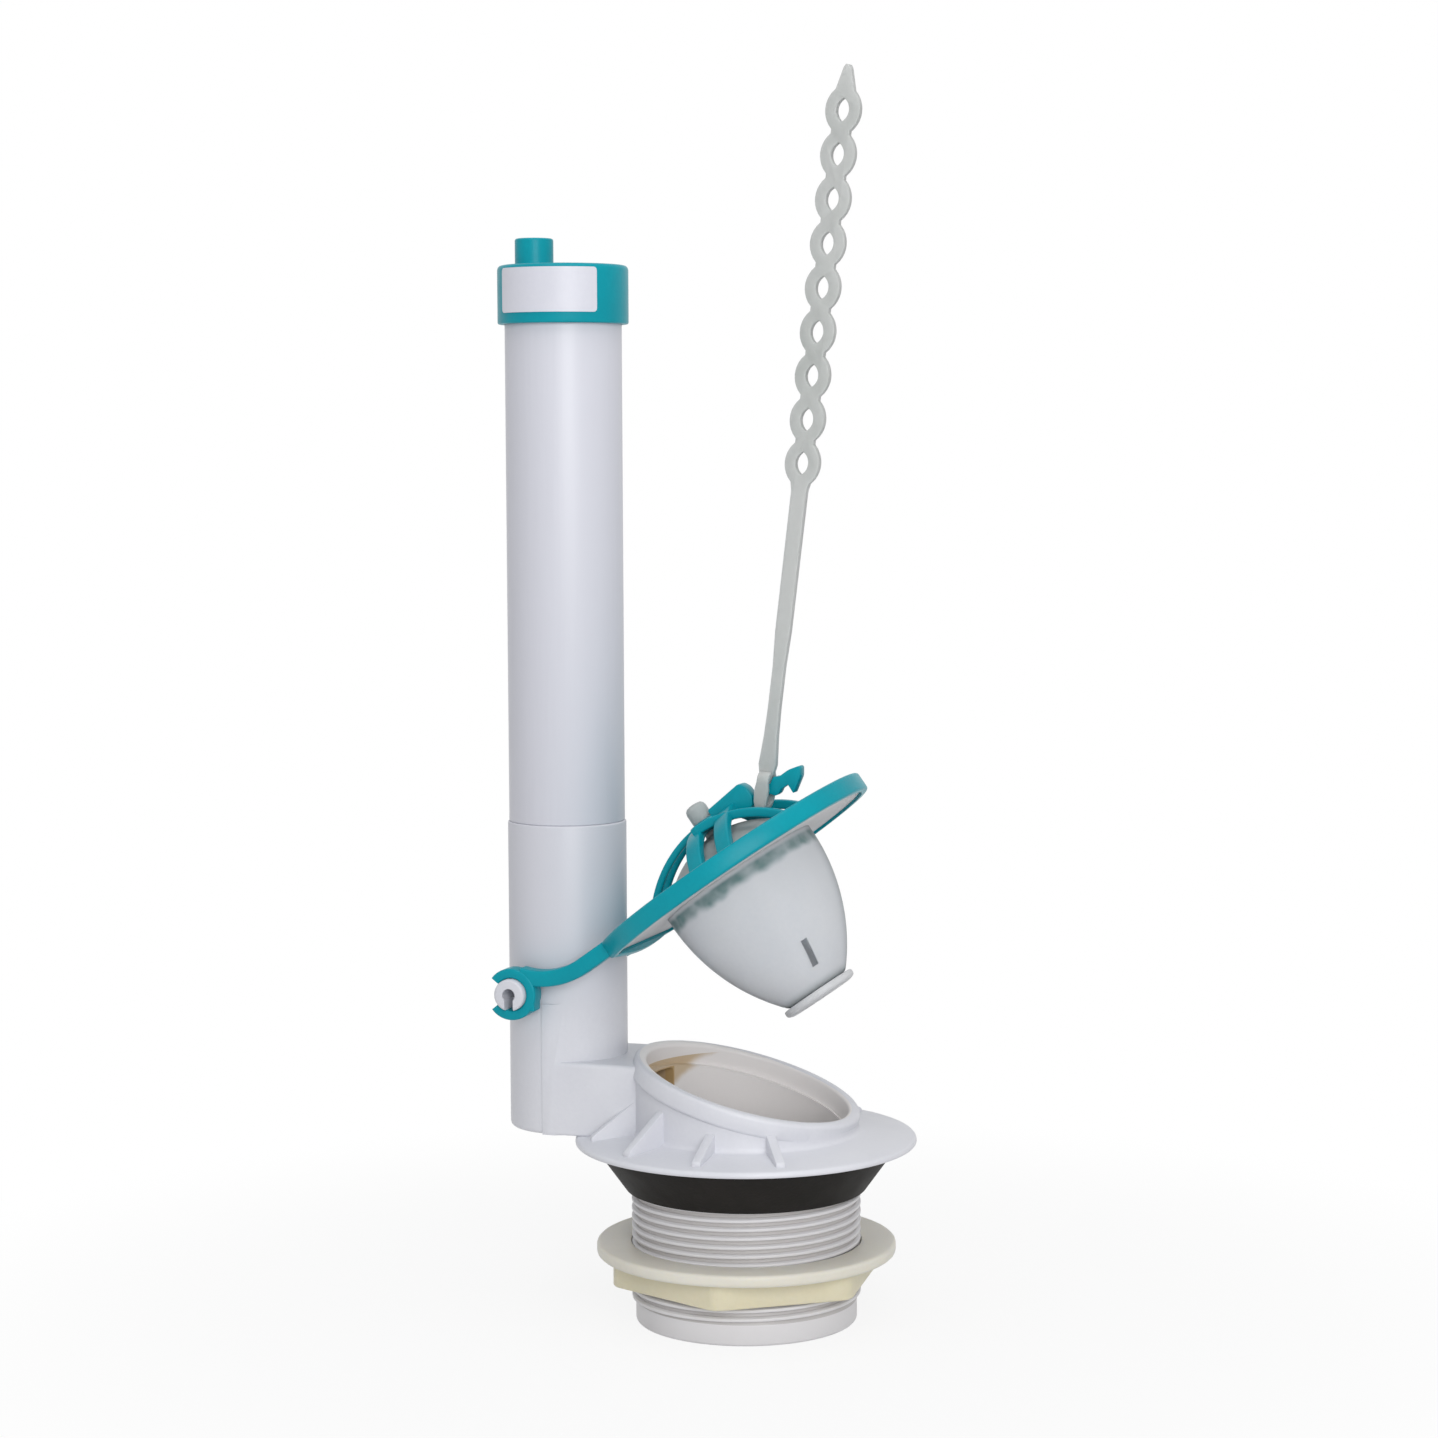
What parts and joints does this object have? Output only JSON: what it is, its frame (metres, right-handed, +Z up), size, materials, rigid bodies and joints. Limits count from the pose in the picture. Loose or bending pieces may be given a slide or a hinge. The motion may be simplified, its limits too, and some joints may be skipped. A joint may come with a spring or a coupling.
{
  "type": "toilet flush valve",
  "caption": "Toilet tank flush valve: threaded outlet with sloping seat, hinged float flapper on a pull strap, side overflow tube with refill cap, tank gasket and locknut.",
  "frame": {"origin": "on the axis of the threaded shank, at its lower end", "axes": "+Z up along the shank, -X from the shank to the overflow tube, Y along the hinge pins"},
  "size_m": [0.1102, 0.0886, 0.3215],
  "materials": {
    "white_plastic": "satin moulded white plastic",
    "pipe_plastic": "satin extruded white pipe",
    "black_rubber": "dull moulded black rubber",
    "washer_plastic": "natural undyed plastic",
    "nut_plastic": "natural undyed plastic, slightly yellow",
    "teal_plastic": "semi-gloss moulded teal plastic",
    "label_film": "bare white label film",
    "clear_rubber": "translucent undyed silicone rubber",
    "frosted_plastic": "frosted translucent plastic",
    "strap_plastic": "translucent undyed flexible plastic"
  },
  "bodies": {
    "base": {"valve_body": "white_plastic", "overflow_tube": "pipe_plastic", "tank_gasket": "black_rubber"},
    "cap": {"refill_cap": "teal_plastic", "cap_label": "label_film"},
    "washer": {"friction_washer": "washer_plastic"},
    "nut": {"locknut": "nut_plastic"},
    "flapper": {"flapper_frame": "teal_plastic", "flapper_seal": "clear_rubber", "air_dome": "frosted_plastic", "float_cone": "frosted_plastic"},
    "dial": {"bleed_dial": "frosted_plastic"},
    "strap": {"pull_strap": "strap_plastic"}
  },
  "joints": [
    {"name": "flapper_lift", "type": "hinge", "parent": "base", "child": "flapper", "pos_m": [-0.0569, 0, 0.0856], "axis": [0, -1, 0], "range_deg": [-51.2, 0]},
    {"name": "strap_swing", "type": "hinge", "parent": "flapper", "child": "strap", "pos_m": [0.00541, 0, 0.13766], "axis": [0, -1, 0], "range_deg": [-0.5, 52]},
    {"name": "dial_turn", "type": "hinge", "parent": "flapper", "child": "dial", "pos_m": [0.0194, 0, 0.08703], "axis": [-0.5821, 0, 0.8131], "range_deg": [-135, 135]},
    {"name": "cap_turn", "type": "hinge", "parent": "base", "child": "cap", "pos_m": [-0.049, 0, 0.265], "axis": [0, 0, 1], "continuous": true},
    {"name": "washer_travel", "type": "slide", "parent": "base", "child": "washer", "axis": [0, 0, 1], "range_m": [-0.0047, 0.0136]},
    {"name": "nut_turn", "type": "hinge", "parent": "washer", "child": "nut", "pos_m": [0, 0, 0.014], "axis": [0, 0, 1], "range_deg": [-720, 2100]}
  ],
  "couplings": [
    {"joint": "strap_swing", "follows": "flapper_lift", "ratio": -1},
    {"joint": "washer_travel", "follows": "nut_turn", "m_per_rad": 0.00036749}
  ]
}
